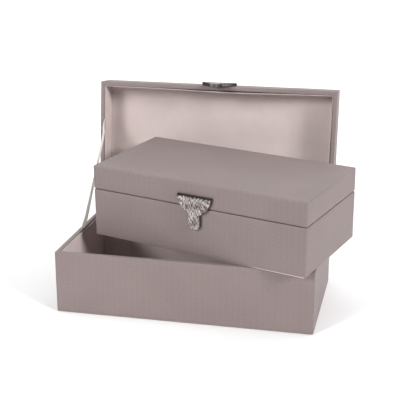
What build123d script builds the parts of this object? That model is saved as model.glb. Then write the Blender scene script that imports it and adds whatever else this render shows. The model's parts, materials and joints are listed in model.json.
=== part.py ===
from build123d import *
import os
from collections import namedtuple
from math import atan, atan2, cos, degrees, hypot, radians, sin

# Two nesting jewellery boxes. The larger one stands open, held by a ribbon stay. The smaller one is closed
# and rests askew on the larger one's rim, with one rear corner on the rear wall of the open lid.
# The origin is the centre of the larger box's underside: +X to its right, -Y to its front, +Z up.
# Millimetres and degrees.

# ---- driving dimensions ----
BoxSize = namedtuple("BoxSize", "length depth base_height lid_height")
OUTER = BoxSize(300.0, 164.5, 74.5, 32.0)
INNER = BoxSize(273.0, 137.0, 58.3, 28.5)
LID_OPEN = 97.3          # opening angle at which the ribbon stay stops the outer lid
INNER_CENTRE = (30.7, 4.9)
INNER_YAW = -16.8

BOARD = 4.2              # wall boards
FLOOR_BOARD = 3.0
TOP_BOARD = 3.2
SKIN = 0.6               # leatherette
LINER = 0.9              # wall liner, card and suedette
PANEL_LINER = 1.2        # floor and lid panel liners
PAD = 0.8                # underside pad
PAD_INSET = 2.0
SEAM = 0.8               # gap between the two rims of a closed box
TURN_IN = 12.0           # leatherette turned over the rim and down inside
TURN_UNDER = 12.0        # leatherette turned under the base
LINER_DROP = 1.0         # liner edge below the rim
CORNER_RADIUS = 1.5
EDGE_RADIUS = 1.2

HINGE_LENGTH = 24.0
HINGE_SPREAD = 0.3       # hinge centre from the middle, as a share of the length
KNUCKLE_RADIUS = 1.5
KNUCKLE_GAP = 0.2
KNUCKLE_ROOM = 0.35      # air between a knuckle and what it turns in
LEAF_ROOM = 0.1
PIN_RADIUS = 0.75
PIN_CLEARANCE = 0.05
HINGE_SCREW_SPREAD = 14.0
HINGE_SCREW_RADIUS = 0.7
HINGE_SCREW_HEAD = 1.2
HINGE_SCREW_LENGTH = 6.0

CLASP_OFFSET = 1.2       # clasp's middle, to the right of the box's middle
CLASP_TOP = 14.2         # above the seam
CLASP_HALF_WIDTH = 22.0
CLASP_WAIST = 7.5        # below the seam, where the fan meets the stem
CLASP_BULGE = (18.3, 2.5)
CLASP_STEM = 7.3         # half width, and radius of the stem's end
CLASP_BOTTOM = 26.1      # below the seam
CLASP_THICKNESS = 3.8
CLASP_STANDOFF = 0.5
CLASP_BOSS = (24.0, 8.0)
CLASP_EDGE = 0.4
SCREW_HEIGHT = 7.0       # clasp screws above the seam
SCREW_SPREAD = 14.0
SCREW_RADIUS = 1.1
SCREW_HEAD = (2.2, 1.2)
SCREW_BITE = 1.5
MAGNET = (4.0, 2.5)
MAGNET_DROP = 18.5

RIBBON_WIDTH = 10.0
RIBBON_THICKNESS = 0.4
RIBBON_TUCK = 9.0        # each end, behind a liner
RIBBON_ROOM = 0.3        # slot beyond each edge of the ribbon
RIBBON_BASE_Y = 1.5      # where the stay leaves the base's left wall
RIBBON_LID_REACH = 107.0  # along the lid from the hinge line
REST_GAP = 0.2           # inner box above the outer rim
CORNER_GAP = 0.3         # inner box above the open lid's rear wall

# ---- worked out ----
RIM = SKIN + BOARD + SKIN
WALL = RIM + LINER
HALF_SEAM = SEAM / 2
LEAN = radians(LID_OPEN - 90)
LINER_EDGE = HALF_SEAM + LINER_DROP  # the highest line of the open lid's rear wall, from the hinge line
TILT_RISE = WALL * cos(LEAN) - LINER_EDGE * sin(LEAN) + HALF_SEAM + CORNER_GAP - REST_GAP
TILT_RUN = OUTER.depth + WALL * sin(LEAN) + LINER_EDGE * cos(LEAN)
TILT = degrees(atan(TILT_RISE / TILT_RUN))


def slab(x0, x1, y0, y1, z0, z1):
    """Rectangular solid between two corners."""
    return Pos((x0 + x1) / 2, (y0 + y1) / 2, (z0 + z1) / 2) * Box(x1 - x0, y1 - y0, z1 - z0)


def inset_slab(size, inset, z0, z1):
    """Slab of a box's outline, drawn in by inset on all four sides."""
    half_x = size.length / 2 - inset
    half_y = size.depth / 2 - inset
    return slab(-half_x, half_x, -half_y, half_y, z0, z1)


def rod_x(radius, x0, x1, y, z):
    """Round rod along X."""
    return Pos((x0 + x1) / 2, y, z) * Rot(0, 90, 0) * Cylinder(radius, x1 - x0)


def rod_y(radius, y0, y1, x, z):
    """Round rod along Y."""
    return Pos(x, (y0 + y1) / 2, z) * Rot(90, 0, 0) * Cylinder(radius, y1 - y0)


def rod_z(radius, z0, z1, x, y):
    """Round rod along Z."""
    return Pos(x, y, (z0 + z1) / 2) * Cylinder(radius, z1 - z0)


def four_walls(size, inset, thickness, z0, z1):
    """Front, back, left and right plates, inset from the outline; the side plates fit between the others."""
    x1 = size.length / 2 - inset
    y1 = size.depth / 2 - inset
    x0 = x1 - thickness
    y0 = y1 - thickness
    return {
        "front": slab(-x1, x1, -y1, -y0, z0, z1),
        "back": slab(-x1, x1, y0, y1, z0, z1),
        "left": slab(-x1, -x0, -y0, y0, z0, z1),
        "right": slab(x0, x1, -y0, y0, z0, z1),
    }


def hinge_centres(size):
    return [-HINGE_SPREAD * size.length, HINGE_SPREAD * size.length]


def knuckle_room(size):
    """Space that the hinge knuckles turn in, taken out of the rear edges."""
    half = HINGE_LENGTH / 2 + KNUCKLE_ROOM
    radius = KNUCKLE_RADIUS + KNUCKLE_ROOM
    return [rod_x(radius, x - half, x + half, size.depth / 2, size.base_height) for x in hinge_centres(size)]


def leaf_slab(size, x, side, room=0.0):
    """Flat of one hinge leaf, let into the rim in place of the leatherette; side is -1 base, +1 lid."""
    half = HINGE_LENGTH / 2 + room
    z_face = size.base_height + side * HALF_SEAM
    z_back = z_face + side * SKIN
    y_inner = size.depth / 2 - SKIN - BOARD
    z0, z1 = sorted((z_face - side * room, z_back))
    return slab(x - half, x + half, y_inner - room, size.depth / 2, z0, z1)


def knuckle(size, x0, x1):
    return rod_x(KNUCKLE_RADIUS, x0, x1, size.depth / 2, size.base_height)


def hinge_screw_places(size):
    y = size.depth / 2 - SKIN - BOARD / 2 - 0.3
    spread = HINGE_SCREW_SPREAD / 2
    return [(x + side * spread, y) for x in hinge_centres(size) for side in (-1, 1)]


def hinge_screw(size, x, y, side):
    """Countersunk screw through a leaf into the board; side is -1 base, +1 lid."""
    z_face = size.base_height + side * HALF_SEAM
    z_back = z_face + side * SKIN
    z_tip = z_face + side * HINGE_SCREW_LENGTH
    head = rod_z(HINGE_SCREW_HEAD, min(z_face, z_back), max(z_face, z_back), x, y)
    shank = rod_z(HINGE_SCREW_RADIUS, min(z_back, z_tip), max(z_back, z_tip), x, y)
    return head + shank


def hinge_leaf(size, x, side):
    """One leaf with its knuckles: two outer ones on the base, the middle one on the lid."""
    half = HINGE_LENGTH / 2
    third = HINGE_LENGTH / 6
    gap = KNUCKLE_GAP / 2
    outer_spans = [(x - half, x - third - gap), (x + third + gap, x + half)]
    middle_span = (x - third + gap, x + third - gap)
    own_spans = outer_spans if side < 0 else [middle_span]
    other_spans = [middle_span] if side < 0 else outer_spans
    y = size.depth / 2
    z = size.base_height
    leaf = leaf_slab(size, x, side)
    for x0, x1 in other_spans:
        leaf -= rod_x(KNUCKLE_RADIUS + KNUCKLE_ROOM, x0 - KNUCKLE_GAP, x1 + KNUCKLE_GAP, y, z)
    for x0, x1 in own_spans:
        leaf += knuckle(size, x0, x1)
    bore = PIN_RADIUS if side < 0 else PIN_RADIUS + PIN_CLEARANCE
    leaf -= rod_x(bore, x - half - 1, x + half + 1, y, z)
    for sx, sy in hinge_screw_places(size):
        if abs(sx - x) < half:
            leaf -= hinge_screw(size, sx, sy, side)
    return leaf


def hinge_cuts(size, side):
    """Everything that the hinges take out of a box half's skin and rear board."""
    leaves = [leaf_slab(size, x, side, LEAF_ROOM) for x in hinge_centres(size)]
    screws = [hinge_screw(size, x, y, side) for x, y in hinge_screw_places(size)]
    return knuckle_room(size) + leaves + screws


def without(solid, cuts):
    for cut in cuts:
        solid -= cut
    return solid


def rounded_block(size, z0, z1):
    """Outside of a box half, with softened upright and level edges."""
    block = inset_slab(size, 0, z0, z1)
    block = fillet(block.edges().filter_by(Axis.Z), CORNER_RADIUS)
    faces = block.faces().sort_by(Axis.Z)
    return fillet(faces[0].edges() + faces[-1].edges(), EDGE_RADIUS)


def turn_in_ring(size, z0, z1):
    """Leatherette turned down on the inside of the boards."""
    return inset_slab(size, SKIN + BOARD, z0, z1) - inset_slab(size, RIM, z0, z1)


def clasp_screw_cuts(size):
    """Clasp screws of a box, from the plate to the inner face of the lid's front board."""
    z = size.base_height + SCREW_HEIGHT
    y_plate = -size.depth / 2 - CLASP_STANDOFF - SCREW_BITE
    y_board = -size.depth / 2 + SKIN + BOARD
    head_radius, head_height = SCREW_HEAD
    screws = []
    for x in (CLASP_OFFSET - SCREW_SPREAD / 2, CLASP_OFFSET + SCREW_SPREAD / 2):
        shank = rod_y(SCREW_RADIUS, y_plate, y_board - head_height, x, z)
        head = rod_y(head_radius, y_board - head_height, y_board, x, z)
        screws.append(shank + head)
    return screws


def clasp_plate(size):
    """Fan-shaped plate with a rounded stem, fixed to the lid and hanging over the base's front."""
    seam = size.base_height
    top = seam + CLASP_TOP
    waist = seam - CLASP_WAIST
    stem_end = seam - CLASP_BOTTOM + CLASP_STEM
    y_back = -size.depth / 2 - CLASP_STANDOFF
    bulge_x, bulge_z = CLASP_BULGE
    with BuildPart() as plate:
        with BuildSketch(Plane(origin=(0, y_back, 0), x_dir=(1, 0, 0), z_dir=(0, -1, 0))):
            with BuildLine():
                Line((-CLASP_HALF_WIDTH, top), (CLASP_HALF_WIDTH, top))
                ThreePointArc((CLASP_HALF_WIDTH, top), (bulge_x, seam + bulge_z), (CLASP_STEM, waist))
                Line((CLASP_STEM, waist), (CLASP_STEM, stem_end))
                ThreePointArc((CLASP_STEM, stem_end), (0, seam - CLASP_BOTTOM), (-CLASP_STEM, stem_end))
                Line((-CLASP_STEM, stem_end), (-CLASP_STEM, waist))
                ThreePointArc((-CLASP_STEM, waist), (-bulge_x, seam + bulge_z), (-CLASP_HALF_WIDTH, top))
            make_face()
        extrude(amount=CLASP_THICKNESS)
        chamfer(plate.faces().sort_by(Axis.Y)[0].edges(), CLASP_EDGE)
    boss_width, boss_height = CLASP_BOSS
    boss = Pos(0, -size.depth / 2 - CLASP_STANDOFF / 2, seam + SCREW_HEIGHT) * Box(
        boss_width, CLASP_STANDOFF, boss_height
    )
    return without(Pos(CLASP_OFFSET, 0, 0) * (plate.part + boss), clasp_screw_cuts(size))


def magnet(size):
    """Disc that holds the clasp's stem, let into the base's front board under the leatherette."""
    radius, thickness = MAGNET
    y0 = -size.depth / 2 + SKIN
    return rod_y(radius, y0, y0 + thickness, CLASP_OFFSET, size.base_height - MAGNET_DROP)


def liners(size, edge, step, end):
    """Wall liners from edge, beside the rim, past step, where the turned-in leatherette stops, to end."""
    facing = four_walls(size, RIM, LINER, min(edge, end), max(edge, end))
    backing = four_walls(size, SKIN + BOARD, SKIN, min(step, end), max(step, end))
    return {wall: facing[wall] + backing[wall] for wall in facing}


def base_nodes(size, slots):
    """Sub-parts of a box's base, in the frame of the closed, level box."""
    rim = size.base_height - HALF_SEAM
    board_top = rim - SKIN
    board_bottom = PAD + SKIN
    floor_top = board_bottom + FLOOR_BOARD
    cuts = hinge_cuts(size, -1)

    cover = rounded_block(size, PAD, rim) - inset_slab(size, SKIN, board_bottom, board_top)
    cover -= inset_slab(size, RIM, board_top - 1, rim + 1)
    cover -= inset_slab(size, TURN_UNDER, 0, board_bottom + 1)
    cover += turn_in_ring(size, board_top - TURN_IN, board_top)
    cover = without(cover, cuts + slots)

    boards = four_walls(size, SKIN, BOARD, board_bottom, board_top)
    boards["front"] -= magnet(size)
    boards["back"] = without(boards["back"], cuts)
    lining = liners(size, rim - LINER_DROP, board_top - TURN_IN, floor_top)

    nodes = {f"base_{wall}_board": board for wall, board in boards.items()}
    nodes["base_floor_board"] = inset_slab(size, SKIN + BOARD, board_bottom, floor_top)
    nodes["base_cover"] = cover
    nodes["base_front_liner"] = lining["front"]
    nodes["base_back_liner"] = lining["back"]
    nodes["base_side_liners"] = [lining["left"], lining["right"]]
    nodes["base_floor_liner"] = inset_slab(size, WALL, floor_top, floor_top + PANEL_LINER)
    nodes["base_pad"] = inset_slab(size, PAD_INSET, 0, PAD)
    nodes["base_magnet"] = magnet(size)
    nodes["base_hinge_leaves"] = [hinge_leaf(size, x, -1) for x in hinge_centres(size)]
    nodes["base_hinge_screws"] = [hinge_screw(size, x, y, -1) for x, y in hinge_screw_places(size)]
    half = HINGE_LENGTH / 2
    nodes["hinge_pins"] = [
        rod_x(PIN_RADIUS, x - half, x + half, size.depth / 2, size.base_height) for x in hinge_centres(size)
    ]
    return nodes


def lid_nodes(size, slots):
    """Sub-parts of a box's lid, in the frame of the closed, level box."""
    rim = size.base_height + HALF_SEAM
    top = size.base_height + size.lid_height
    board_low = rim + SKIN
    board_high = top - SKIN
    panel = board_high - TOP_BOARD
    cuts = hinge_cuts(size, 1)
    screws = clasp_screw_cuts(size)

    cover = rounded_block(size, rim, top) - inset_slab(size, SKIN, board_low, board_high)
    cover -= inset_slab(size, RIM, rim - 1, board_low + 1)
    cover += turn_in_ring(size, board_low, board_low + TURN_IN)
    cover = without(cover, cuts + screws + slots)

    boards = four_walls(size, SKIN, BOARD, board_low, panel)
    boards["front"] = without(boards["front"], screws)
    boards["back"] = without(boards["back"], cuts)
    lining = liners(size, rim + LINER_DROP, board_low + TURN_IN, panel)

    nodes = {f"lid_{wall}_board": board for wall, board in boards.items()}
    nodes["lid_top_board"] = inset_slab(size, SKIN, panel, board_high)
    nodes["lid_cover"] = cover
    nodes["lid_front_liner"] = lining["front"]
    nodes["lid_back_liner"] = lining["back"]
    nodes["lid_side_liners"] = [lining["left"], lining["right"]]
    nodes["lid_panel_liner"] = inset_slab(size, WALL, panel - PANEL_LINER, panel)
    nodes["lid_clasp"] = clasp_plate(size)
    nodes["lid_clasp_screws"] = screws
    nodes["lid_hinge_leaves"] = [hinge_leaf(size, x, 1) for x in hinge_centres(size)]
    nodes["lid_hinge_screws"] = [hinge_screw(size, x, y, 1) for x, y in hinge_screw_places(size)]
    return nodes


def ribbon_line():
    """Ends of the stay's visible run, (y, z) at the base's rim and at the open lid's rim."""
    base_end = (RIBBON_BASE_Y, OUTER.base_height)
    lid_y = OUTER.depth / 2 + RIBBON_LID_REACH * sin(LEAN)
    lid_z = OUTER.base_height + RIBBON_LID_REACH * cos(LEAN)
    return base_end, (lid_y, lid_z)


def ribbon(width, thickness, tuck):
    """Straight flat strip in the plane of the left walls' turned-in leatherette."""
    (y0, z0), (y1, z1) = ribbon_line()
    length = hypot(y1 - y0, z1 - z0) + 2 * tuck
    slope = degrees(atan2(z1 - z0, y1 - y0))
    x = -OUTER.length / 2 + SKIN + BOARD + SKIN / 2
    return Pos(x, (y0 + y1) / 2, (z0 + z1) / 2) * Rot(slope, 0, 0) * Box(thickness, length, width)


def write(name, solids, place):
    """Put a sub-part in its place in the assembly and export it."""
    placed = [place * solid for solid in (solids if isinstance(solids, list) else [solids])]
    shape = placed[0] if len(placed) == 1 else Compound(children=placed)
    export_step(shape, f"parts/{name}.step")


def main():
    os.makedirs("parts", exist_ok=True)
    outer_lid_place = (
        Pos(0, OUTER.depth / 2, OUTER.base_height)
        * Rot(-LID_OPEN, 0, 0)
        * Pos(0, -OUTER.depth / 2, -OUTER.base_height)
    )
    inner_place = (
        Pos(0, -OUTER.depth / 2, OUTER.base_height - HALF_SEAM + REST_GAP)
        * Rot(TILT, 0, 0)
        * Pos(INNER_CENTRE[0], INNER_CENTRE[1] + OUTER.depth / 2, 0)
        * Rot(0, 0, INNER_YAW)
    )
    slot = ribbon(RIBBON_WIDTH + 2 * RIBBON_ROOM, SKIN, RIBBON_TUCK + RIBBON_ROOM)
    lid_slot = outer_lid_place.inverse() * slot

    for prefix, size, base_place, lid_place, base_slots, lid_slots in (
        ("outer", OUTER, Pos(0, 0, 0), outer_lid_place, [slot], [lid_slot]),
        ("inner", INNER, inner_place, inner_place, [], []),
    ):
        for name, solids in base_nodes(size, base_slots).items():
            write(f"{prefix}_{name}", solids, base_place)
        for name, solids in lid_nodes(size, lid_slots).items():
            write(f"{prefix}_{name}", solids, lid_place)
    write("ribbon_stay", ribbon(RIBBON_WIDTH, RIBBON_THICKNESS, RIBBON_TUCK), Pos(0, 0, 0))


main()
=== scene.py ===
"""Nesting jewellery boxes in embossed leatherette, lined with suedette. Lengths are in metres."""
import json
import math

import bpy
import bmesh
import numpy as np
from mathutils import Matrix, Vector, noise
from mathutils.geometry import delaunay_2d_cdt


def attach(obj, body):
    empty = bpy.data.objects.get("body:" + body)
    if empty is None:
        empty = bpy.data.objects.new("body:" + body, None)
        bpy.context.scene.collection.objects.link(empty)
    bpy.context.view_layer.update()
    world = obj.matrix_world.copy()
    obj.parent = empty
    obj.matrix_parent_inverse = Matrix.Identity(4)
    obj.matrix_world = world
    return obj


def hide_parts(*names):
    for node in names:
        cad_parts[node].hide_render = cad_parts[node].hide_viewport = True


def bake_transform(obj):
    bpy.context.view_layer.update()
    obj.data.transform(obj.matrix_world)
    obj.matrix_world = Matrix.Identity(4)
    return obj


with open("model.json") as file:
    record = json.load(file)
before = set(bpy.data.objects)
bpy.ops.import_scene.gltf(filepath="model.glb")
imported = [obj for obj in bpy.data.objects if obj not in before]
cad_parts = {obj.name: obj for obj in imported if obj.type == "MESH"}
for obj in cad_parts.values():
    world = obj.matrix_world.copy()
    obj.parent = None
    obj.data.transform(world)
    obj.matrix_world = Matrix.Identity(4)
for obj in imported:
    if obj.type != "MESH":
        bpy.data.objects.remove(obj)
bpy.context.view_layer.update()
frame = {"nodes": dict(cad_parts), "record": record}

MM = 0.001
record = frame["record"]
joints = {joint["name"]: joint for joint in record["behaviour"]["joints"]}

# ---- camera, as the photograph was taken ----
CAMERA_PLACE = (0.2520, -1.0845, 0.4751)
CAMERA_TURN = 12.34       # degrees, to the left of straight ahead
CAMERA_DROP = 18.19       # degrees below the horizon
CAMERA_ROLL = 0.11
CAMERA_LENS = 84.95
CAMERA_SENSOR = 36.0

# ---- leatherette covers ----
EDGE_RADIUS = 1.25 * MM   # outer edges
INNER_EDGE_RADIUS = 0.9 * MM
FOOT_RADIUS = 0.6 * MM    # the leatherette's fold under the base
TURN_IN = 12 * MM
TURN_UNDER = 12 * MM
CORNER_RADIUS = 1.5 * MM
LEAST_RADIUS = 0.35 * MM  # corners of the inner rings
CORNER_STEPS = 6          # mesh faces round a corner
TOP_RINGS = (40, 24, 14, 8, 5, 3)    # mesh rings on a lid's top, in mm from its edge
LEVEL_AREA = 3e-5         # square metres: a larger level face is embossed straight along X and Y
WALL_STEP = 4.5 * MM      # mesh rows
RIM_STEP = 1.2 * MM
WOBBLE = 0.10 * MM        # unevenness over the board
FOLD_DEPTH = 0.22 * MM    # mitred folds at the rim's corners
HINGE_NOTCH = 1.9 * MM    # radius of the room for the knuckles
HINGE_ROOM = 0.12 * MM
DASH_PITCH = 6.9 * MM     # embossed dashes, along a row
DASH_ROW = 4.6 * MM
DASH_DRIFT = 0.5 * MM

# ---- liners, panels and pads ----
LINER_STEP = 5 * MM       # mesh, along and up a wall liner
LINER_ROW = 4 * MM
LINER_ROUND = 0.42 * MM
LINER_WAVE = 0.12 * MM    # unevenness of a wall liner's face
LINER_DIP = 0.22 * MM     # and of its free edge
LEAN_START = 0.35         # share of a liner's height below which it stays against its wall
PANEL_STEP = 6 * MM       # mesh
PANEL_BORDER = 8 * MM     # width over which a panel rises
PANEL_ROUND = 0.5 * MM
PANEL_PUFF = 0.15 * MM
PANEL_WAVE = 0.08 * MM    # unevenness of the floor liner, lid panel and pad
PAD_ROUND = 0.35 * MM
# A pad glued on a little askew: (radians, how far forward).
PAD_SKEW = {"outer": (0.0, 0.0), "inner": (0.0080, 0.5 * MM)}

# ---- clasp plates ----
CLASP_STEM = 7.3 * MM     # half width of the stem, and radius of its end
CLASP_WAIST = 7.5 * MM    # below the seam, where the fan meets the stem
CLASP_BULGE = (18.3 * MM, 2.5 * MM)  # a point of the fan's side, from the middle and above the seam
CLASP_BOSS = (24 * MM, 8 * MM)       # standoff behind the plate
CLASP_BOSS_RISE = 7 * MM  # above the seam
CLASP_STANDOFF = 0.5 * MM
CLASP_STEP = 0.36 * MM    # mesh
CLASP_ROUND = 0.9 * MM    # width of the rounded border, over which the colour is also painted darker towards the outline as painted shade
CLASP_DROP = 0.45 * MM    # and its depth
CLASP_RELIEF = 0.55 * MM  # depth of the grooves
TOP_BEVEL = 3.0 * MM      # slope along the top edge, painted dark towards the edge as painted reflection and shade
TOP_SLOPE = 1.4 * MM      # and its depth
BEVEL_PAINTED_DARK = 0.35         # share of it painted all dark, painted reflection and shade
FAN_ROOT = 34 * MM        # below the seam, where the strokes meet
FLARE = 0.30              # radians that the strokes bend outwards at the top corners
FLARE_START = 8 * MM      # below the seam
FLARE_RISE = 22 * MM
FLARE_REACH = 14 * MM     # from the middle
STROKE_RADIUS = 30 * MM   # where the strokes' width is measured

# ---- ribbon stay ----
RIBBON_THICKNESS = 0.34 * MM
RIBBON_TUCK = 9 * MM      # each end, behind a liner
RIBBON_EASE = 16 * MM     # over which it comes off the wall
RIBBON_STAND_OFF = 1.35 * MM
RIBBON_CUP = 0.18 * MM
RIBBON_TWIST = (0.04, -0.15)  # radians, at its lower and upper end
RIBBON_ROWS = 120
RIBBON_COLUMNS = 12
WARP_PITCH = 0.42 * MM
WEFT_PITCH = 0.55 * MM

LEATHERETTE_DARK = (0.178, 0.139, 0.134)
LEATHERETTE_LIGHT = (0.228, 0.180, 0.175)
SUEDETTE_DARK = (0.442, 0.367, 0.351)
SUEDETTE_LIGHT = (0.530, 0.452, 0.439)

# ---- floor and light ----
FLOOR_HALF = 6.0
WORLD_STRENGTH = 0.10
# (name, azimuth, elevation, angular size, strength), angles in degrees, azimuth from the front, left negative
LIGHTS = (
    ("key", -36.5, 23.0, 20.0, 2.33),
    ("side", 63.0, 24.0, 17.0, 2.79),
    ("top", 180.0, 60.0, 95.0, 2.61),
)


# ------------------------------------------------------------------ frames of the two boxes

def corner_points(node):
    """Different vertex positions of a CAD node, at rest, in the row frame."""
    mesh = frame["nodes"][node].data
    return np.array(sorted({tuple(round(c, 7) for c in v.co) for v in mesh.vertices}))


def slab_frame(node):
    """Local to row frame matrix of a flat slab: X along its longest side, Z through it, origin beneath."""
    points = corner_points(node)
    centre = (points.max(axis=0) + points.min(axis=0)) / 2
    axes = np.linalg.svd(points - centre)[2]
    x_axis = Vector(axes[0]) * (1 if axes[0][0] > 0 else -1)
    y_axis = Vector(axes[1]) * (1 if axes[1][1] > 0 else -1)
    z_axis = x_axis.cross(y_axis)
    spread = (points - centre) @ np.array(z_axis)
    origin = Vector(centre) + z_axis * float(spread.min())
    matrix = Matrix((x_axis, y_axis, z_axis)).transposed().to_4x4()
    matrix.translation = origin
    return matrix


def joint_turn(name, degrees):
    """Matrix that turns a joint's child by so many degrees from rest."""
    joint = joints[name]
    pivot = Vector(joint["pos_m"])
    turn = Matrix.Rotation(math.radians(degrees), 4, Vector(joint["axis"]))
    return Matrix.Translation(pivot) @ turn @ Matrix.Translation(-pivot)


def span(node, place):
    """(lowest, highest) corner of a CAD node in a local frame."""
    inverse = np.array(place.inverted())
    points = corner_points(node)
    local = points @ inverse[:3, :3].T + inverse[:3, 3]
    return Vector(local.min(axis=0)), Vector(local.max(axis=0))


class Box:
    """One box's frames and sizes, read from its CAD nodes."""

    def __init__(self, name):
        self.name = name
        self.base_place = slab_frame(f"{name}_base_pad")
        closed = joints["outer_lid_hinge"]["range_deg"][0] if name == "outer" else 0.0
        self.lid_place = self.base_place
        if closed:
            self.lid_place = joint_turn("outer_lid_hinge", -closed) @ self.base_place
        cover_low, cover_high = span(f"{name}_base_cover", self.base_place)
        self.half_x = (cover_high.x - cover_low.x) / 2
        self.half_y = (cover_high.y - cover_low.y) / 2
        self.base_low, self.base_rim = cover_low.z, cover_high.z
        lid_low, lid_high = span(f"{name}_lid_cover", self.lid_place)
        self.lid_rim, self.lid_top = lid_low.z, lid_high.z
        self.seam = (self.base_rim + self.lid_rim) / 2
        board_low, board_high = span(f"{name}_base_front_board", self.base_place)
        self.skin = board_low.y + self.half_y
        self.board = board_high.y - board_low.y
        self.rim = 2 * self.skin + self.board
        floor_low, floor_high = span(f"{name}_base_floor_liner", self.base_place)
        self.wall = self.half_x - floor_high.x
        self.floor_low = floor_low.z
        self.panel_high = span(f"{name}_lid_panel_liner", self.lid_place)[1].z
        self.base_liner_edge = span(f"{name}_base_front_liner", self.base_place)[1].z
        self.lid_liner_edge = span(f"{name}_lid_front_liner", self.lid_place)[0].z


# ------------------------------------------------------------------ mesh helpers

def new_object(name, verts, faces, place=None, smooth=True):
    """Mesh object with its place in its vertices."""
    mesh = bpy.data.meshes.new(name)
    mesh.from_pydata([tuple(v) for v in verts], [], faces)
    mesh.validate()
    if place is not None:
        mesh.transform(place)
    mesh.polygons.foreach_set("use_smooth", [smooth] * len(mesh.polygons))
    obj = bpy.data.objects.new(name, mesh)
    bpy.context.scene.collection.objects.link(obj)
    return obj


def tidy_normals(obj, angle=40):
    """Outward faces, and sharp edges where the surface turns by more than angle."""
    bm = bmesh.new()
    bm.from_mesh(obj.data)
    bmesh.ops.remove_doubles(bm, verts=bm.verts, dist=1e-6)
    bmesh.ops.recalc_face_normals(bm, faces=bm.faces)
    for edge in bm.edges:
        edge.smooth = not (edge.is_manifold and edge.calc_face_angle(0) > math.radians(angle))
    bm.to_mesh(obj.data)
    bm.free()


def arc(centre, radius, start, end, steps):
    """Points (inset, height) on a round edge, angles in degrees."""
    points = []
    for i in range(steps + 1):
        a = math.radians(start + (end - start) * i / steps)
        points.append((centre[0] + radius * math.cos(a), centre[1] + radius * math.sin(a)))
    return points


def rows(start, end, step):
    """Points from start to end, both included, no further apart than step."""
    length = math.dist(start, end)
    count = max(1, math.ceil(length / step))
    return [tuple(a + (b - a) * i / count for a, b in zip(start, end)) for i in range(count + 1)]


def rounded_ring(half_x, half_y, radius, step, reference):
    """Points of a rounded rectangle, their places along it, and how many points each straight side has.

    The counts come from reference, so that rings of different insets match.
    """
    ref_x, ref_y = reference
    long_count = math.ceil(2 * ref_x / step)
    short_count = math.ceil(2 * ref_y / step)
    inner_x, inner_y = half_x - radius, half_y - radius
    points, along = [], []
    # (side's start, its end, centre of the corner after it, angle the corner starts at, points on the side)
    sides = (
        ((-inner_x, -half_y), (inner_x, -half_y), (inner_x, -inner_y), -90, long_count),
        ((half_x, -inner_y), (half_x, inner_y), (inner_x, inner_y), 0, short_count),
        ((inner_x, half_y), (-inner_x, half_y), (-inner_x, inner_y), 90, long_count),
        ((-half_x, inner_y), (-half_x, -inner_y), (-inner_x, -inner_y), 180, short_count),
    )
    base = 0.0
    for start, end, centre, angle, count in sides:
        half = ref_x if count == long_count and start[1] == end[1] else ref_y
        for i in range(count):
            t = i / count
            points.append((start[0] + (end[0] - start[0]) * t, start[1] + (end[1] - start[1]) * t))
            along.append(base - half + 2 * half * t)
        for i in range(CORNER_STEPS):
            a = math.radians(angle + 90 * i / CORNER_STEPS)
            points.append((centre[0] + radius * math.cos(a), centre[1] + radius * math.sin(a)))
            along.append(base + half)
        base += ref_x + ref_y
    return points, along, (long_count, short_count, long_count, short_count)


def bridge(rings):
    """Quads between each ring of vertex numbers and the next."""
    faces = []
    for a, b in zip(rings, rings[1:]):
        for i in range(len(a)):
            j = (i + 1) % len(a)
            faces.append((a[i], a[j], b[j], b[i]))
    return faces


def uneven(point, amount, scale=28.0, seed=0.0):
    """Smooth unevenness, the same on every run."""
    return amount * noise.noise(Vector(point) * scale + Vector((seed, 2 * seed, 3 * seed)))


def cover_mesh(name, box, profile, caps, rim_height, seed):
    """Leatherette wrapped round a box half: the profile, (inset, height), swept round the outline."""
    reference = (box.half_x - CORNER_RADIUS, box.half_y - CORNER_RADIUS)
    verts, uvs, rings = [], [], []
    length = 0.0
    for k, (inset, height) in enumerate(profile):
        if k:
            length += math.dist(profile[k - 1], profile[k])
        radius = max(CORNER_RADIUS - inset, LEAST_RADIUS)
        points, along, side_counts = rounded_ring(
            box.half_x - inset, box.half_y - inset, radius, WALL_STEP, reference
        )
        ring = []
        count = len(points)
        folds = set()
        position = 0
        for side in side_counts:
            position += side
            folds.add((position + CORNER_STEPS // 2) % count)
            position += CORNER_STEPS
        for i, (x, y) in enumerate(points):
            z = height
            shift = uneven((x, y, height), WOBBLE, seed=seed)
            if inset < 0.05 * MM:
                x += shift * (1 if x > 0 else -1) * (abs(x) > box.half_x - CORNER_RADIUS)
                y += shift * (1 if y > 0 else -1) * (abs(y) > box.half_y - CORNER_RADIUS)
            on_rim = abs(height - rim_height) < 0.4 * MM
            if on_rim and i in folds:
                z -= FOLD_DEPTH * (1 if rim_height == box.base_rim else -1)
            ring.append(len(verts))
            verts.append((x, y, z))
            uvs.append((along[i], length))
        rings.append(ring)
    if caps:
        faces = bridge(rings) + [tuple(rings[0]), tuple(reversed(rings[-1]))]
    else:
        faces = bridge(rings + [rings[0]])
    return finish_cover(name, verts, faces, uvs)


def finish_cover(name, verts, faces, uvs):
    """Object with its surface coordinates in metres on a UV map, still in the box's own frame."""
    mesh = bpy.data.meshes.new(name)
    mesh.from_pydata(verts, [], faces)
    layer = mesh.uv_layers.new(name="surface")
    for polygon in mesh.polygons:
        level = abs(polygon.normal.z) > 0.9 and polygon.area > LEVEL_AREA
        us = [uvs[mesh.loops[i].vertex_index][0] for i in polygon.loop_indices]
        wraps = max(us) - min(us) > 0.1
        for i in polygon.loop_indices:
            vertex = mesh.loops[i].vertex_index
            u, v = uvs[vertex]
            if level:
                u, v = verts[vertex][0], verts[vertex][1]
            elif wraps and u < 0:
                u = max(us)
            layer.data[i].uv = (u, v)
    mesh.polygons.foreach_set("use_smooth", [True] * len(mesh.polygons))
    obj = bpy.data.objects.new(name, mesh)
    bpy.context.scene.collection.objects.link(obj)
    return obj


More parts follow.
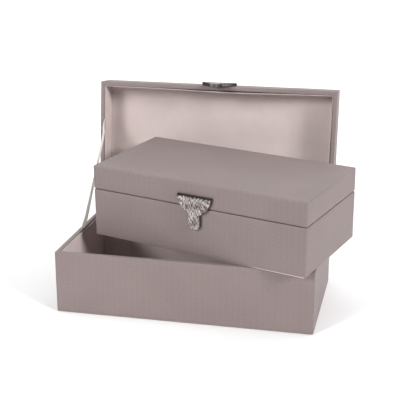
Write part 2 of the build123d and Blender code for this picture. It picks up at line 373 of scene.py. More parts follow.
def cut_away(obj, cutters):
    """Takes solids out of obj for good."""
    for cutter in cutters:
        modifier = obj.modifiers.new("cut", "BOOLEAN")
        modifier.operation = "DIFFERENCE"
        modifier.solver = "EXACT"
        modifier.object = cutter
    graph = bpy.context.evaluated_depsgraph_get()
    mesh = bpy.data.meshes.new_from_object(obj.evaluated_get(graph))
    obj.modifiers.clear()
    obj.data = mesh
    for cutter in cutters:
        bpy.data.objects.remove(cutter)


def block_object(low, high):
    """Plain block, used only to cut with."""
    (x0, y0, z0), (x1, y1, z1) = low, high
    verts = [(x, y, z) for x in (x0, x1) for y in (y0, y1) for z in (z0, z1)]
    faces = [(0, 1, 3, 2), (4, 6, 7, 5), (0, 4, 5, 1), (2, 3, 7, 6), (0, 2, 6, 4), (1, 5, 7, 3)]
    return new_object("cutter", verts, faces, smooth=False)


def rod_object(radius, x0, x1, y, z, count=32):
    """Round bar along X, used only to cut with."""
    verts = []
    for x in (x0, x1):
        for i in range(count):
            a = 2 * math.pi * i / count
            verts.append((x, y + radius * math.cos(a), z + radius * math.sin(a)))
    faces = [tuple(reversed(range(count))), tuple(range(count, 2 * count))]
    for i in range(count):
        j = (i + 1) % count
        faces.append((i, j, count + j, count + i))
    return new_object("cutter", verts, faces, smooth=False)


# ------------------------------------------------------------------ covers

def rim_section(box, rim, way):
    """Section of the leatherette over a rim, from the outer wall to the board side of the turn-in."""
    def level(depth):
        return rim - way * depth
    section = []
    section += arc((EDGE_RADIUS, level(EDGE_RADIUS)), EDGE_RADIUS, 180, 180 - 90 * way, 5)
    section += rows((EDGE_RADIUS, rim), (box.rim - INNER_EDGE_RADIUS, rim), RIM_STEP)[1:-1]
    section += arc((box.rim - INNER_EDGE_RADIUS, level(INNER_EDGE_RADIUS)), INNER_EDGE_RADIUS, 90 * way, 0, 4)
    section += rows((box.rim, level(INNER_EDGE_RADIUS)), (box.rim, level(box.skin + TURN_IN)), WALL_STEP)[1:]
    section.append((box.skin + box.board, level(box.skin + TURN_IN)))
    section.append((box.skin + box.board, level(box.skin)))
    section.append((box.skin, level(box.skin)))
    return section


def base_cover(box):
    """Leatherette of a base: outside, over the rim and down inside, and turned under."""
    bottom = box.base_low
    wall = rows((0, bottom + FOOT_RADIUS), (0, box.base_rim - EDGE_RADIUS), WALL_STEP)[:-1]
    profile = wall + rim_section(box, box.base_rim, 1)
    profile += [(box.skin, bottom + box.skin), (TURN_UNDER, bottom + box.skin), (TURN_UNDER, bottom)]
    profile += arc((FOOT_RADIUS, bottom + FOOT_RADIUS), FOOT_RADIUS, 270, 180, 5)[:-1]
    return cover_mesh(f"{box.name}_base_leatherette", box, profile, False, box.base_rim, 1.7)


def lid_cover(box):
    """Leatherette of a lid: top, outside, and over the rim and up inside."""
    top = box.lid_top
    profile = [(inset * MM, top) for inset in TOP_RINGS]
    profile += arc((EDGE_RADIUS, top - EDGE_RADIUS), EDGE_RADIUS, 90, 180, 5)
    profile += rows((0, top - EDGE_RADIUS), (0, box.lid_rim + EDGE_RADIUS), WALL_STEP)[1:-1]
    profile += rim_section(box, box.lid_rim, -1)
    profile.append((box.skin, top - box.skin))
    return cover_mesh(f"{box.name}_lid_leatherette", box, profile, True, box.lid_rim, 5.3)


def hinge_spans(box, half):
    """(x0, x1) of each hinge, from the leaves' own solids."""
    place = box.base_place if half == "base" else box.lid_place
    inverse = place.inverted()
    mesh = frame["nodes"][f"{box.name}_{half}_hinge_leaves"].data
    xs = [(inverse @ v.co).x for v in mesh.vertices]
    left = [x for x in xs if x < 0]
    right = [x for x in xs if x > 0]
    return [(min(left), max(left)), (min(right), max(right))]


def cut_hinge_room(box, obj, half):
    """Room for the hinges, cut in the box's own frame."""
    room = HINGE_ROOM
    way = 1 if half == "base" else -1
    rim = box.base_rim if half == "base" else box.lid_rim
    cutters = []
    for x0, x1 in hinge_spans(box, half):
        y0 = box.half_y - box.skin - box.board - room
        z0, z1 = sorted((rim - way * (box.skin + room), rim + way * MM))
        cutters.append(block_object((x0 - room, y0, z0), (x1 + room, box.half_y + MM, z1)))
        cutters.append(rod_object(HINGE_NOTCH, x0 - 3 * room, x1 + 3 * room, box.half_y, box.seam))
    cut_away(obj, cutters)


def make_covers(box):
    """The leatherette of both halves."""
    for half, builder in (("base", base_cover), ("lid", lid_cover)):
        obj = builder(box)
        tidy_normals(obj, 50)
        obj.data.materials.append(MATERIALS["leatherette"])
        cut_hinge_room(box, obj, half)
        obj.data.transform(box.base_place if half == "base" else box.lid_place)
        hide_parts(f"{box.name}_{half}_cover")
        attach(obj, f"{box.name}_{half}")


# ------------------------------------------------------------------ liners

def wall_liner(length, section, bow, seed):
    """Lined card standing against a wall: the section (inward, height) swept along the wall.

    bow(t, rise) is how far it leans inward: t goes from -1 to 1 along the wall, rise from 0 to 1 up it.
    """
    count = max(8, math.ceil(length / LINER_STEP))
    heights = [h for _, h in section]
    low, high = min(heights), max(heights)
    verts, rings = [], []
    for i in range(count + 1):
        t = -1 + 2 * i / count
        x = t * length / 2
        ring = []
        for inward, height in section:
            rise = (height - low) / (high - low)
            lean = bow(t, rise) + uneven((x, height, 0), LINER_WAVE, 40, seed) * rise
            dip = uneven((x, 0, seed), LINER_DIP, 22, seed) * max(0.0, rise - 0.8) * 5
            ring.append(len(verts))
            verts.append((x, inward + max(0.0, lean), height + min(0.0, dip)))
        rings.append(ring)
    faces = bridge(rings) + [tuple(rings[0]), tuple(reversed(rings[-1]))]
    return verts, faces


def liner_section(box, low, edge, step):
    """Section of a wall liner, from the board's face: (inward, height along the wall towards the rim)."""
    face = box.skin + (box.wall - box.rim)
    height = abs(edge - low)
    step_height = abs(step - low)
    radius = LINER_ROUND
    section = rows((face, 0.0), (face, height - radius), LINER_ROW)
    section += arc((face - radius, height - radius), radius, 0, 90, 4)[1:]
    section += arc((box.skin + radius, height - radius), radius, 90, 180, 4)[1:]
    section += [(box.skin, step_height), (0.0, step_height), (0.0, 0.0)]
    return section


def wall_places(box):
    """Matrices that put a wall's own frame (x along, y inward, z up) against each board, with its length."""
    inner_x = box.half_x - box.skin - box.board
    inner_y = box.half_y - box.skin - box.board
    full_x = 2 * (box.half_x - box.rim)
    short_y = 2 * (box.half_y - box.wall)
    turn = Matrix.Rotation
    return {
        "front": (Matrix.Translation((0, -inner_y, 0)), full_x),
        "back": (Matrix.Translation((0, inner_y, 0)) @ turn(math.pi, 4, "Z"), full_x),
        "left": (Matrix.Translation((-inner_x, 0, 0)) @ turn(-math.pi / 2, 4, "Z"), short_y),
        "right": (Matrix.Translation((inner_x, 0, 0)) @ turn(math.pi / 2, 4, "Z"), short_y),
    }


def edge_lean(most, centre=0.0, width=1.0, spread=0.0):
    """How a liner's free edge stands off its wall: most at centre, fading over width, spread everywhere."""
    def lean(t, rise):
        along = math.exp(-((t - centre) / width) ** 2)
        ends = max(0.0, 1 - t ** 8)
        # The last factor brings the curve to 1 at the free edge.
        return (most * along + spread) * ends * max(0.0, rise - LEAN_START) ** 1.5 * 1.9
    return lean


LEANS = {
    ("outer", "base", "left"): edge_lean(1.5 * MM, -0.25, 0.45, 0.15 * MM),
    ("outer", "lid", "front"): edge_lean(1.7 * MM, 0.12, 0.45, 0.25 * MM),
    ("outer", "lid", "left"): edge_lean(0.30 * MM, -0.2, 0.6, 0.12 * MM),
    ("outer", "lid", "right"): edge_lean(0.45 * MM, 0.1, 0.6, 0.15 * MM),
}


def make_liners(box, half):
    """Wall liners of one half. The two at the sides are one object, as they are one node in the CAD."""
    place = box.base_place if half == "base" else box.lid_place
    if half == "base":
        foot, edge, way = box.floor_low, box.base_liner_edge, 1
        step = box.base_rim - box.skin - TURN_IN
    else:
        foot, edge, way = box.panel_high, box.lid_liner_edge, -1
        step = box.lid_rim + box.skin + TURN_IN
    section = liner_section(box, foot, edge, step)
    meshes = {}
    for k, (wall, (wall_place, length)) in enumerate(wall_places(box).items()):
        bow = LEANS.get((box.name, half, wall), edge_lean(0.25 * MM, 0.0, 0.7, 0.08 * MM))
        seed = 1.3 * k + (0 if half == "base" else 7)
        verts, faces = wall_liner(length, section, bow, seed)
        flip = Matrix.Translation((0, 0, foot)) @ Matrix.Diagonal((1, 1, way, 1))
        meshes[wall] = ([wall_place @ flip @ Vector(v) for v in verts], faces)
    groups = {"front_liner": ["front"], "back_liner": ["back"], "side_liners": ["left", "right"]}
    for node, walls in groups.items():
        verts, faces = [], []
        for wall in walls:
            start = len(verts)
            wall_verts, wall_faces = meshes[wall]
            verts += wall_verts
            faces += [tuple(start + i for i in face) for face in wall_faces]
        obj = new_object(f"{box.name}_{half}_{node}_suedette", verts, faces, place)
        tidy_normals(obj, 50)
        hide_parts(f"{box.name}_{half}_{node}")
        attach(obj, f"{box.name}_{half}")
        obj.data.materials.append(MATERIALS["suedette"])


def soft_slab(name, low, high, place, radius, puff, seed):
    """Lined card or felt sheet: a slab with rounded edges on its open face, slightly uneven."""
    (x0, y0, z0), (x1, y1, z1) = low, high
    insets = [(0.0, z0), (0.0, z1 - radius)]
    insets += [(radius - radius * math.cos(a), z1 - radius + radius * math.sin(a)) for a in
               (math.radians(d) for d in (22.5, 45, 67.5, 90))]
    half_x, half_y = (x1 - x0) / 2, (y1 - y0) / 2
    centre = ((x0 + x1) / 2, (y0 + y1) / 2)
    count_x, count_y = math.ceil(2 * half_x / PANEL_STEP), math.ceil(2 * half_y / PANEL_STEP)
    verts, grid = [], {}

    def outline(inset):
        hx, hy = half_x - inset, half_y - inset
        points = [(-hx + 2 * hx * i / count_x, -hy) for i in range(count_x)]
        points += [(hx, -hy + 2 * hy * i / count_y) for i in range(count_y)]
        points += [(hx - 2 * hx * i / count_x, hy) for i in range(count_x)]
        points += [(-hx, hy - 2 * hy * i / count_y) for i in range(count_y)]
        return points

    rings = []
    for inset, z in insets[:-1]:
        ring = []
        for x, y in outline(inset):
            ring.append(len(verts))
            verts.append((centre[0] + x, centre[1] + y, z))
        rings.append(ring)
    inset, z = insets[-1]
    hx, hy = half_x - inset, half_y - inset
    for i in range(count_x + 1):
        for j in range(count_y + 1):
            x = -hx + 2 * hx * i / count_x
            y = -hy + 2 * hy * j / count_y
            edge = min((hx - abs(x)) / PANEL_BORDER, (hy - abs(y)) / PANEL_BORDER, 1.0)
            rise = puff * math.sin(edge * math.pi / 2) + uneven((x, y, seed), PANEL_WAVE, 30, seed) * edge
            grid[i, j] = len(verts)
            verts.append((centre[0] + x, centre[1] + y, z - puff - PANEL_WAVE * edge + rise))
    top = [grid[i, 0] for i in range(count_x)]
    top += [grid[count_x, j] for j in range(count_y)]
    top += [grid[count_x - i, count_y] for i in range(count_x)]
    top += [grid[0, count_y - j] for j in range(count_y)]
    rings.append(top)
    faces = bridge(rings)
    for i in range(count_x):
        for j in range(count_y):
            faces.append((grid[i, j], grid[i + 1, j], grid[i + 1, j + 1], grid[i, j + 1]))
    faces.append(tuple(reversed(rings[0])))
    obj = new_object(name, verts, faces, place)
    tidy_normals(obj, 50)
    return obj


def make_panels(box):
    """Floor liner, lid panel liner and underside pad."""
    low, high = span(f"{box.name}_base_floor_liner", box.base_place)
    floor = soft_slab(
        f"{box.name}_base_floor_suedette", low, high, box.base_place, PANEL_ROUND, PANEL_PUFF, 3.1,
    )
    low, high = span(f"{box.name}_lid_panel_liner", box.lid_place)
    flip = Matrix.Diagonal((1, -1, -1, 1))
    panel = soft_slab(
        f"{box.name}_lid_panel_suedette", (low.x, low.y, -high.z), (high.x, high.y, -low.z),
        box.lid_place @ flip, PANEL_ROUND, PANEL_PUFF, 8.2,
    )
    low, high = span(f"{box.name}_base_pad", box.base_place)
    skew, forward = PAD_SKEW[box.name]
    askew = Matrix.Translation((0, -forward, 0)) @ Matrix.Rotation(-skew, 4, "Z")
    pad = soft_slab(
        f"{box.name}_base_felt", (low.x, low.y, -high.z), (high.x, high.y, -low.z),
        box.base_place @ askew @ flip, PAD_ROUND, 0.0, 4.4,
    )
    for obj, node, body, slot in (
        (floor, "base_floor_liner", "base", "suedette"),
        (panel, "lid_panel_liner", "lid", "suedette"),
        (pad, "base_pad", "base", "felt"),
    ):
        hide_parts(f"{box.name}_{node}")
        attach(obj, f"{box.name}_{body}")
        obj.data.materials.append(MATERIALS[slot])


# ------------------------------------------------------------------ materials

class Nodes:
    """Small helper for a material's node tree."""

    def __init__(self, name):
        self.material = bpy.data.materials.new(name)
        self.material.use_nodes = True
        self.tree = self.material.node_tree
        self.bsdf = self.tree.nodes["Principled BSDF"]

    def add(self, kind, inputs=None, **settings):
        """New node. An input may be a value, another node's socket, or a node for its first output."""
        node = self.tree.nodes.new(kind)
        for key, value in settings.items():
            setattr(node, key, value)
        for key, value in (inputs or {}).items():
            self.put(node, key, value)
        return node

    def put(self, node, key, value):
        """Gives one input its value or link."""
        if isinstance(value, bpy.types.NodeSocket):
            self.tree.links.new(value, node.inputs[key])
        elif isinstance(value, bpy.types.Node):
            self.tree.links.new(value.outputs[0], node.inputs[key])
        else:
            node.inputs[key].default_value = value

    def shader(self, **values):
        """Inputs of the shader itself, with _ for the spaces in their names."""
        for key, value in values.items():
            self.put(self.bsdf, key.replace("_", " "), value)

    def math(self, operation, a, b=0.0):
        """Math node; a and b are values or nodes."""
        return self.add("ShaderNodeMath", {0: a, 1: b}, operation=operation)

    def ramp(self, factor, stops):
        """Colour ramp through (position, colour) stops."""
        node = self.add("ShaderNodeValToRGB", {"Fac": factor})
        elements = node.color_ramp.elements
        while len(elements) < len(stops):
            elements.new(0.5)
        for element, (place, colour) in zip(elements, stops):
            element.position = place
            element.color = (*colour, 1.0)
        return node

    def bump(self, height, strength, distance):
        """Bump straight into the shader's normal."""
        node = self.add("ShaderNodeBump", {"Height": height, "Strength": strength, "Distance": distance})
        self.put(self.bsdf, "Normal", node.outputs["Normal"])


def leatherette_material():
    """Taupe coated fabric, embossed with staggered slanting dashes over a fine pebble grain."""
    m = Nodes("embossed leatherette")
    uv = m.add("ShaderNodeUVMap", uv_map="surface")
    drift = m.add("ShaderNodeTexNoise", {"Vector": uv, "Scale": 90.0, "Detail": 2.0})
    sway = {0: drift.outputs["Color"], "Scale": DASH_DRIFT}
    offset = m.add("ShaderNodeVectorMath", sway, operation="SCALE")
    place = m.add("ShaderNodeVectorMath", {0: uv, 1: offset}, operation="ADD")
    split = m.add("ShaderNodeSeparateXYZ", {0: place})
    across = m.math("MULTIPLY", split.outputs["X"], 2 * math.pi / DASH_PITCH)
    up = m.math("MULTIPLY", split.outputs["Y"], 2 * math.pi / DASH_ROW)
    slant = m.math("COSINE", m.math("SUBTRACT", across, up))
    column = m.math("COSINE", across)
    row = m.math("COSINE", up)
    alternate = m.math("COSINE", m.math("MULTIPLY", m.math("ADD", across, up), 0.5))
    dashes = m.math("ADD", m.math("MULTIPLY", slant, 0.50), m.math("MULTIPLY", column, 0.28))
    dashes = m.math("ADD", dashes, m.math("MULTIPLY", row, 0.22))
    dashes = m.math("ADD", dashes, m.math("MULTIPLY", alternate, 0.15))
    limits = {"Value": dashes, "From Min": -0.45, "From Max": 0.75}
    crest = m.add("ShaderNodeMapRange", limits, interpolation_type="SMOOTHSTEP")
    pebble = m.add("ShaderNodeTexVoronoi", {"Vector": uv, "Scale": 1900.0}, feature="F1")
    pore = m.add("ShaderNodeTexNoise", {"Vector": uv, "Scale": 3600.0, "Detail": 3.0})
    raised = m.math("MULTIPLY", crest, 0.29)
    sunk = m.math("MULTIPLY", pebble.outputs["Distance"], -0.35)
    height = m.math("ADD", raised, sunk)
    height = m.math("ADD", height, m.math("MULTIPLY", pore, 0.25))
    patch = m.add("ShaderNodeTexNoise", {"Vector": uv, "Scale": 14.0, "Detail": 3.0})
    tone = m.math("ADD", m.math("MULTIPLY", height, 0.30), m.math("MULTIPLY", patch, 0.40))
    colour = m.ramp(tone, [(0.10, LEATHERETTE_DARK), (0.50, LEATHERETTE_LIGHT)])
    rough = m.math("SUBTRACT", 0.56, m.math("MULTIPLY", crest, 0.04))
    m.shader(Base_Color=colour, Roughness=rough)
    m.bsdf.inputs["Specular IOR Level"].default_value = 0.4
    m.bsdf.inputs["Sheen Weight"].default_value = 0.06
    m.bsdf.inputs["Sheen Roughness"].default_value = 0.5
    m.bump(height, 0.55, 0.22 * MM)
    return m.material


def suedette_material():
    """Pink-beige flocked cloth with a short nap."""
    m = Nodes("flocked suedette")
    at = m.add("ShaderNodeTexCoord").outputs["Object"]
    fibre = m.add("ShaderNodeTexNoise", {"Vector": at, "Scale": 2600.0, "Detail": 4.0, "Roughness": 0.7})
    brushed = m.add("ShaderNodeTexNoise", {"Vector": at, "Scale": 22.0, "Detail": 4.0, "Roughness": 0.6})
    tone = m.math("ADD", m.math("MULTIPLY", fibre, 0.35), m.math("MULTIPLY", brushed, 0.65))
    colour = m.ramp(tone, [(0.30, SUEDETTE_DARK), (0.68, SUEDETTE_LIGHT)])
    m.shader(Base_Color=colour, Roughness=0.95)
    m.bsdf.inputs["Specular IOR Level"].default_value = 0.12
    m.bsdf.inputs["Sheen Weight"].default_value = 0.25
    m.bsdf.inputs["Sheen Roughness"].default_value = 0.6
    m.bsdf.inputs["Sheen Tint"].default_value = (0.95, 0.85, 0.83, 1)
    m.bump(fibre, 0.35, 0.15 * MM)
    return m.material


def felt_material():
    """Off-white felt of the underside pads."""
    m = Nodes("wool felt")
    at = m.add("ShaderNodeTexCoord").outputs["Object"]
    fibre = m.add("ShaderNodeTexNoise", {"Vector": at, "Scale": 1800.0, "Detail": 5.0, "Roughness": 0.75})
    colour = m.ramp(fibre, [(0.3, (0.55, 0.47, 0.45)), (0.7, (0.71, 0.62, 0.595))])
    m.shader(Base_Color=colour, Roughness=0.97)
    m.bsdf.inputs["Specular IOR Level"].default_value = 0.1
    m.bump(fibre, 0.6, 0.3 * MM)
    return m.material


def board_material():
    """Recycled grey board."""
    m = Nodes("grey board")
    at = m.add("ShaderNodeTexCoord").outputs["Object"]
    fleck = m.add("ShaderNodeTexNoise", {"Vector": at, "Scale": 900.0, "Detail": 6.0, "Roughness": 0.8})
    colour = m.ramp(fleck, [(0.3, (0.26, 0.23, 0.19)), (0.7, (0.40, 0.36, 0.30))])
    m.shader(Base_Color=colour, Roughness=0.9)
    m.bump(fleck, 0.4, 0.2 * MM)
    return m.material


def steel_material(name, light, dark, rough):
    """Plated metal with fine brushed scratches."""
    m = Nodes(name)
    at = m.add("ShaderNodeTexCoord").outputs["Object"]
    stretched = m.add("ShaderNodeMapping", {"Vector": at, "Scale": (300.0, 3500.0, 3500.0)})
    scratch = m.add("ShaderNodeTexNoise", {"Vector": stretched, "Scale": 1.0, "Detail": 3.0})
    colour = m.ramp(scratch, [(0.3, dark), (0.7, light)])
    roughness = m.math("ADD", m.math("MULTIPLY", scratch, 0.2), rough)
    m.shader(Base_Color=colour, Metallic=1.0, Roughness=roughness)
    m.bump(scratch, 0.2, 0.05 * MM)
    return m.material


def clasp_material():
    """Antique silver: bright on the ridges, dark patina in the grooves. The relief attribute is the ridge
    height, lowered along the border and over the top slope as painted shade and painted reflection.
    """
    m = Nodes("antique silver")
    at = m.add("ShaderNodeTexCoord").outputs["Object"]
    relief = m.add("ShaderNodeAttribute", attribute_name="relief").outputs["Fac"]
    cloud = m.add("ShaderNodeTexNoise", {"Vector": at, "Scale": 900.0, "Detail": 4.0})
    tone = m.math("ADD", relief, m.math("MULTIPLY", m.math("SUBTRACT", cloud, 0.5), 0.35))
    stops = [(0.10, (0.035, 0.029, 0.027)), (0.48, (0.21, 0.186, 0.179)), (0.90, (0.56, 0.504, 0.49))]
    colour = m.ramp(tone, stops)
    roughness = m.math("SUBTRACT", 0.60, m.math("MULTIPLY", relief, 0.18))
    m.shader(Base_Color=colour, Metallic=1.0, Roughness=roughness)
    m.bump(cloud, 0.25, 0.1 * MM)
    return m.material


def ribbon_material():
    """Off-white woven ribbon."""
    m = Nodes("woven ribbon")
    uv = m.add("ShaderNodeUVMap", uv_map="surface")
    split = m.add("ShaderNodeSeparateXYZ", {0: uv})
    warp = m.math("SINE", m.math("MULTIPLY", split.outputs["X"], 2 * math.pi / WARP_PITCH))
    weft = m.math("SINE", m.math("MULTIPLY", split.outputs["Y"], 2 * math.pi / WEFT_PITCH))
    weave = m.math("MULTIPLY", warp, weft)
    fibre = m.add("ShaderNodeTexNoise", {"Vector": uv, "Scale": 1500.0, "Detail": 3.0})
    tone = m.math("ADD", m.math("MULTIPLY", weave, 0.2), fibre)
    colour = m.ramp(tone, [(0.25, (0.62, 0.59, 0.54)), (0.7, (0.82, 0.79, 0.74))])
    m.shader(Base_Color=colour, Roughness=0.55)
    m.bsdf.inputs["Sheen Weight"].default_value = 0.2
    m.bsdf.inputs["Subsurface Weight"].default_value = 0.7
    m.bsdf.inputs["Subsurface Radius"].default_value = (1.0, 0.95, 0.9)
    m.bsdf.inputs["Subsurface Scale"].default_value = 2 * MM
    m.bump(weave, 0.5, 0.08 * MM)
    return m.material


MATERIALS = {
    "leatherette": leatherette_material(),
    "suedette": suedette_material(),
    "felt": felt_material(),
    "greyboard": board_material(),
    "clasp_metal": clasp_material(),
    "hardware_steel": steel_material("plated steel", (0.72, 0.70, 0.66), (0.48, 0.46, 0.43), 0.22),
    "magnet": steel_material("magnet alloy", (0.30, 0.30, 0.31), (0.20, 0.20, 0.21), 0.35),
    "ribbon": ribbon_material(),
}


def paint_cad_nodes():
    """The CAD solids that stay, such as boards, hinges and screws, take their slot's material."""
    for part in record["subparts"]:
        obj = frame["nodes"][part["node"]]
        material = MATERIALS[part["material_slot"]]
        obj.data.materials.clear()
        obj.data.materials.append(material)


# ------------------------------------------------------------------ clasp

def clasp_outline(box):
    """Right half of the clasp plate's outline, from the top corner to the stem's end, in local X and Z."""
    low, high = span(f"{box.name}_lid_clasp", box.lid_place)
    half_width = (high.x - low.x) / 2
    top, bottom = high.z, low.z
    seam = box.seam
    stem = CLASP_STEM
    waist = seam - CLASP_WAIST
    bulge = Vector((CLASP_BULGE[0], seam + CLASP_BULGE[1]))
    corner = Vector((half_width, top))
    end = Vector((stem, waist))
    outline = circle_through(corner, bulge, end, 22)
    centre_z = bottom + stem
    outline += [Vector((stem, z)) for z in np.linspace(waist, centre_z, 8)[1:]]
    for a in np.linspace(0, math.pi / 2, 12)[1:]:
        outline.append(Vector((stem * math.cos(a), centre_z - stem * math.sin(a))))
    return outline, low, high


def circle_through(a, b, c, count):
    """Points on the arc from a to c through b."""
    d = 2 * (a.x * (b.y - c.y) + b.x * (c.y - a.y) + c.x * (a.y - b.y))
    aa, bb, cc = a.length_squared, b.length_squared, c.length_squared
    ux = (aa * (b.y - c.y) + bb * (c.y - a.y) + cc * (a.y - b.y)) / d
    uy = (aa * (c.x - b.x) + bb * (a.x - c.x) + cc * (b.x - a.x)) / d
    centre = Vector((ux, uy))
    start = math.atan2(a.y - uy, a.x - ux)
    end = math.atan2(c.y - uy, c.x - ux)
    while end - start > math.pi:
        end -= 2 * math.pi
    while start - end > math.pi:
        end += 2 * math.pi
    radius = (a - centre).length
    angles = [start + (end - start) * i / count for i in range(count + 1)]
    return [centre + radius * Vector((math.cos(angle), math.sin(angle))) for angle in angles]


def ridge_height(x, z, seam):
    """Short feathery strokes fanning out of the stem: 0 in a groove, 1 on a crest.

    Noise scales are per metre: coarse strokes are about 1.1 by 3.8 mm, fine ones 0.6 by 2.1 mm.
    """
    root = seam - FAN_ROOT
    spread = math.atan2(x, z - root)
    reach = math.hypot(x, z - root)
    flare = max(0.0, (z - (seam - FLARE_START)) / FLARE_RISE)
    angle = spread + FLARE * flare * flare * (1 if x > 0 else -1) * min(1.0, abs(x) / FLARE_REACH)
    across = angle * STROKE_RADIUS
    coarse = noise.noise(Vector((across * 900, reach * 260, 3.1)))
    fine = noise.noise(Vector((across * 1700, reach * 480, 7.7)))
    broad = noise.noise(Vector((x * 110, z * 110, 5.0)))
    return max(0.0, min(1.0, 0.54 + 0.48 * coarse + 0.52 * fine + 0.25 * broad))


def inside(polygon, x, z):
    """Whether a point lies inside the outline."""
    crosses = False
    j = len(polygon) - 1
    for i in range(len(polygon)):
        xi, zi = polygon[i]
        xj, zj = polygon[j]
        if (zi > z) != (zj > z) and x < (xj - xi) * (z - zi) / (zj - zi) + xi:
            crosses = not crosses
        j = i
    return crosses


def edge_distance(polygon, x, z):
    """Distance of a point from the outline."""
    ab = np.roll(polygon, -1, axis=0) - polygon
    p = np.array((x, z))
    t = np.clip(((p - polygon) * ab).sum(axis=1) / np.maximum((ab * ab).sum(axis=1), 1e-18), 0, 1)
    return float(np.min(np.linalg.norm(polygon + ab * t[:, None] - p, axis=1)))


def plate_mesh(outline, polygon, bottom):
    """Flat points and triangles that fill the outline, with a point every CLASP_STEP."""
    corner = outline[0]
    points = [Vector(p) for p in outline]
    count = len(points)
    edges = [(i, (i + 1) % count) for i in range(count)]
    for i in range(int(2 * corner.x / CLASP_STEP) + 1):
        for j in range(int((corner.y - bottom) / CLASP_STEP) + 1):
            x = -corner.x + i * CLASP_STEP + (CLASP_STEP / 2 if j % 2 else 0)
            z = bottom + j * CLASP_STEP
            if inside(polygon, x, z) and edge_distance(polygon, x, z) > 0.45 * CLASP_STEP:
                points.append(Vector((x, z)))
    made = delaunay_2d_cdt(points, edges, [list(range(count))], 1, 1e-7)
    return made[0], made[2]


def plate_border(faces):
    """Edges that only one face has."""
    directed = {(a, b): True for face in faces for a, b in zip(face, face[1:] + face[:1])}
    return [(a, b) for a, b in directed if (b, a) not in directed]


def make_clasp(box):
    """Fan-shaped plate with strokes in relief on its front, and the standoff behind it."""
    half, low, high = clasp_outline(box)
    corner = half[0]
    plate_back = -box.half_y - CLASP_STANDOFF
    left = [Vector((-p.x, p.y)) for p in reversed(half[:-1])]
    top_row = [Vector((x, corner.y)) for x in np.linspace(-corner.x, corner.x, 90)[1:-1]]
    outline = half + left + top_row
    polygon = np.array([(p.x, p.y) for p in outline])
    flat, faces = plate_mesh(outline, polygon, low.z)
    verts, relief = [], []
    for p in flat:
        ridge = ridge_height(p.x, p.y, box.seam)
        fade = min(1.0, edge_distance(polygon, p.x, p.y) / CLASP_ROUND)
        dome = CLASP_DROP * (1 - math.sqrt(max(0.0, 1 - (1 - fade) ** 2)))
        brow = TOP_BEVEL * (1 + 0.8 * noise.noise(Vector((p.x * 420, 0, 9.1))))
        brow_fade = min(1.0, (corner.y - p.y) / brow)
        slope = TOP_SLOPE * (1 - brow_fade)
        depth = CLASP_RELIEF * (1 - ridge) * (0.35 + 0.65 * fade)
        verts.append((p.x, low.y + max(dome, slope) + depth * fade, p.y))
        # Ridge height darkens the grooves as patina. Towards the outline (fade) and on the upper top slope
        # the colour is lowered further: painted shade and painted reflection.
        relief.append(ridge * (0.4 + 0.6 * fade) * max(0.0, (brow_fade - BEVEL_PAINTED_DARK) / (1 - BEVEL_PAINTED_DARK)))
    total = len(verts)
    verts += [(p.x, plate_back, p.y) for p in flat]
    relief += [0.25] * total
    solid = [tuple(face) for face in faces] + [tuple(total + i for i in reversed(face)) for face in faces]
    solid += [(b, a, total + a, total + b) for a, b in plate_border(faces)]
    boss = (CLASP_BOSS[0] / 2, CLASP_BOSS[1] / 2, box.seam + CLASP_BOSS_RISE)
    q = len(verts)
    for y in (plate_back, -box.half_y):
        for sx, sz in ((-1, -1), (1, -1), (1, 1), (-1, 1)):
            verts.append((sx * boss[0], y, boss[2] + sz * boss[1]))
            relief.append(0.2)
    solid += [(q, q + 3, q + 2, q + 1), (q + 4, q + 5, q + 6, q + 7)]
    solid += [(q + i, q + (i + 1) % 4, q + 4 + (i + 1) % 4, q + 4 + i) for i in range(4)]
    obj = new_object(f"{box.name}_clasp_plate", verts, solid)
    attribute = obj.data.attributes.new("relief", "FLOAT", "POINT")
    attribute.data.foreach_set("value", relief)
    obj.data.transform(box.lid_place @ Matrix.Translation(((low.x + high.x) / 2, 0, 0)))
    tidy_normals(obj, 65)
    obj.data.materials.append(MATERIALS["clasp_metal"])
    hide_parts(f"{box.name}_lid_clasp")
    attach(obj, f"{box.name}_lid")


# ------------------------------------------------------------------ ribbon stay

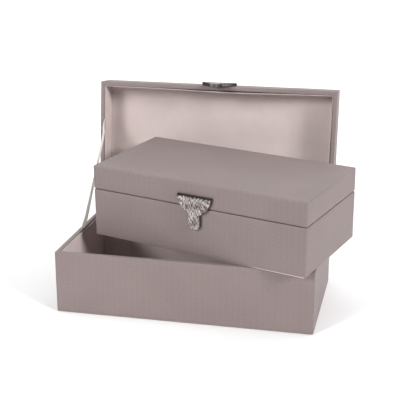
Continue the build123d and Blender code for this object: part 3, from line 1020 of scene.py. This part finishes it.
def make_ribbon():
    """The flat stay between the outer box's left walls."""
    points = corner_points("ribbon_stay")
    centre = Vector((points.max(axis=0) + points.min(axis=0)) / 2)
    axes = np.linalg.svd(points - np.array(centre))[2]
    along = Vector(axes[0]) * (1 if axes[0][2] > 0 else -1)
    across = Vector(axes[1]) * (1 if axes[1][1] > 0 else -1)
    inward = Vector((1, 0, 0))
    reach = (points - np.array(centre)) @ np.array(along)
    length = float(reach.max() - reach.min())
    width = float(np.ptp((points - np.array(centre)) @ np.array(across)))
    count, columns = RIBBON_ROWS, RIBBON_COLUMNS
    verts, uvs, rings, path = [], [], [], []
    for i in range(count + 1):
        s = -length / 2 + length * i / count
        free = min(1.0, max(0.0, (length / 2 - abs(s) - RIBBON_TUCK) / RIBBON_EASE))
        ease = free * free * (3 - 2 * free)
        middle = centre + along * s + inward * RIBBON_STAND_OFF * ease
        twist = (RIBBON_TWIST[0] + (RIBBON_TWIST[1] - RIBBON_TWIST[0]) * (s / length + 0.5)) * ease
        side = across * math.cos(twist) + inward * math.sin(twist)
        face = inward * math.cos(twist) - across * math.sin(twist)
        path.append(middle)
        ring = []
        for j in range(2 * columns):
            if j < columns:
                t, level = -1 + 2 * j / (columns - 1), 1
            else:
                t, level = 1 - 2 * (j - columns) / (columns - 1), -1
            cup = RIBBON_CUP * (t * t - 0.4) * ease
            ring.append(len(verts))
            verts.append(middle + side * (t * width / 2) + face * (level * RIBBON_THICKNESS / 2 + cup))
            uvs.append((t * width / 2, s))
        rings.append(ring)
    faces = bridge(rings) + [tuple(rings[0]), tuple(reversed(rings[-1]))]
    mesh = bpy.data.meshes.new("ribbon")
    mesh.from_pydata([tuple(v) for v in verts], [], faces)
    layer = mesh.uv_layers.new(name="surface")
    for loop in mesh.loops:
        layer.data[loop.index].uv = uvs[loop.vertex_index]
    mesh.polygons.foreach_set("use_smooth", [True] * len(mesh.polygons))
    obj = bpy.data.objects.new("ribbon_stay_woven", mesh)
    bpy.context.scene.collection.objects.link(obj)
    tidy_normals(obj, 60)
    obj.data.materials.append(MATERIALS["ribbon"])
    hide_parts("ribbon_stay")
    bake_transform(obj)


# ------------------------------------------------------------------ stage

def make_camera():
    """The photograph's viewpoint and angle of view."""
    camera = bpy.data.cameras.new("camera")
    camera.lens = CAMERA_LENS
    camera.sensor_width = CAMERA_SENSOR
    camera.clip_end = 50
    obj = bpy.data.objects.new("camera", camera)
    bpy.context.scene.collection.objects.link(obj)
    turn = Matrix.Rotation(math.radians(CAMERA_TURN), 4, "Z")
    drop = Matrix.Rotation(math.radians(90 - CAMERA_DROP), 4, "X")
    roll = Matrix.Rotation(math.radians(CAMERA_ROLL), 4, "Z")
    obj.matrix_world = Matrix.Translation(CAMERA_PLACE) @ turn @ drop @ roll
    bpy.context.scene.camera = obj


def soft_light(name, azimuth, elevation, angle, strength):
    """Distant soft light; its angular size softens the shadows."""
    light = bpy.data.lights.new(name, "SUN")
    light.angle = math.radians(angle)
    light.energy = strength
    obj = bpy.data.objects.new(name, light)
    bpy.context.scene.collection.objects.link(obj)
    a, e = math.radians(azimuth), math.radians(elevation)
    towards = Vector((math.sin(a) * math.cos(e), -math.cos(a) * math.cos(e), math.sin(e)))
    obj.location = 2 * towards
    obj.rotation_mode = "QUATERNION"
    obj.rotation_quaternion = (-towards).to_track_quat("-Z", "Y")


def make_stage():
    """Pale floor, even surroundings and the lights."""
    half = FLOOR_HALF
    corners = [(-half, -half, 0), (half, -half, 0), (half, half, 0), (-half, half, 0)]
    floor = new_object("floor", corners, [(0, 1, 2, 3)])
    m = Nodes("studio floor")
    at = m.add("ShaderNodeTexCoord").outputs["Object"]
    cloud = m.add("ShaderNodeTexNoise", {"Vector": at, "Scale": 3.0, "Detail": 2.0})
    colour = m.ramp(cloud, [(0.3, (0.925, 0.925, 0.93)), (0.7, (0.935, 0.935, 0.94))])
    m.shader(Base_Color=colour, Roughness=0.7)
    m.bsdf.inputs["Specular IOR Level"].default_value = 0.2
    floor.data.materials.append(m.material)
    world = bpy.data.worlds.new("studio")
    bpy.context.scene.world = world
    world.use_nodes = True
    background = world.node_tree.nodes["Background"]
    background.inputs["Color"].default_value = (1.0, 1.0, 1.0, 1)
    background.inputs["Strength"].default_value = WORLD_STRENGTH
    for values in LIGHTS:
        soft_light(*values)
    bpy.context.scene.view_settings.view_transform = "Standard"


# ------------------------------------------------------------------ build

make_camera()
make_stage()
paint_cad_nodes()
for box_name in ("outer", "inner"):
    box = Box(box_name)
    make_covers(box)
    for half in ("base", "lid"):
        make_liners(box, half)
    make_panels(box)
    make_clasp(box)
make_ribbon()
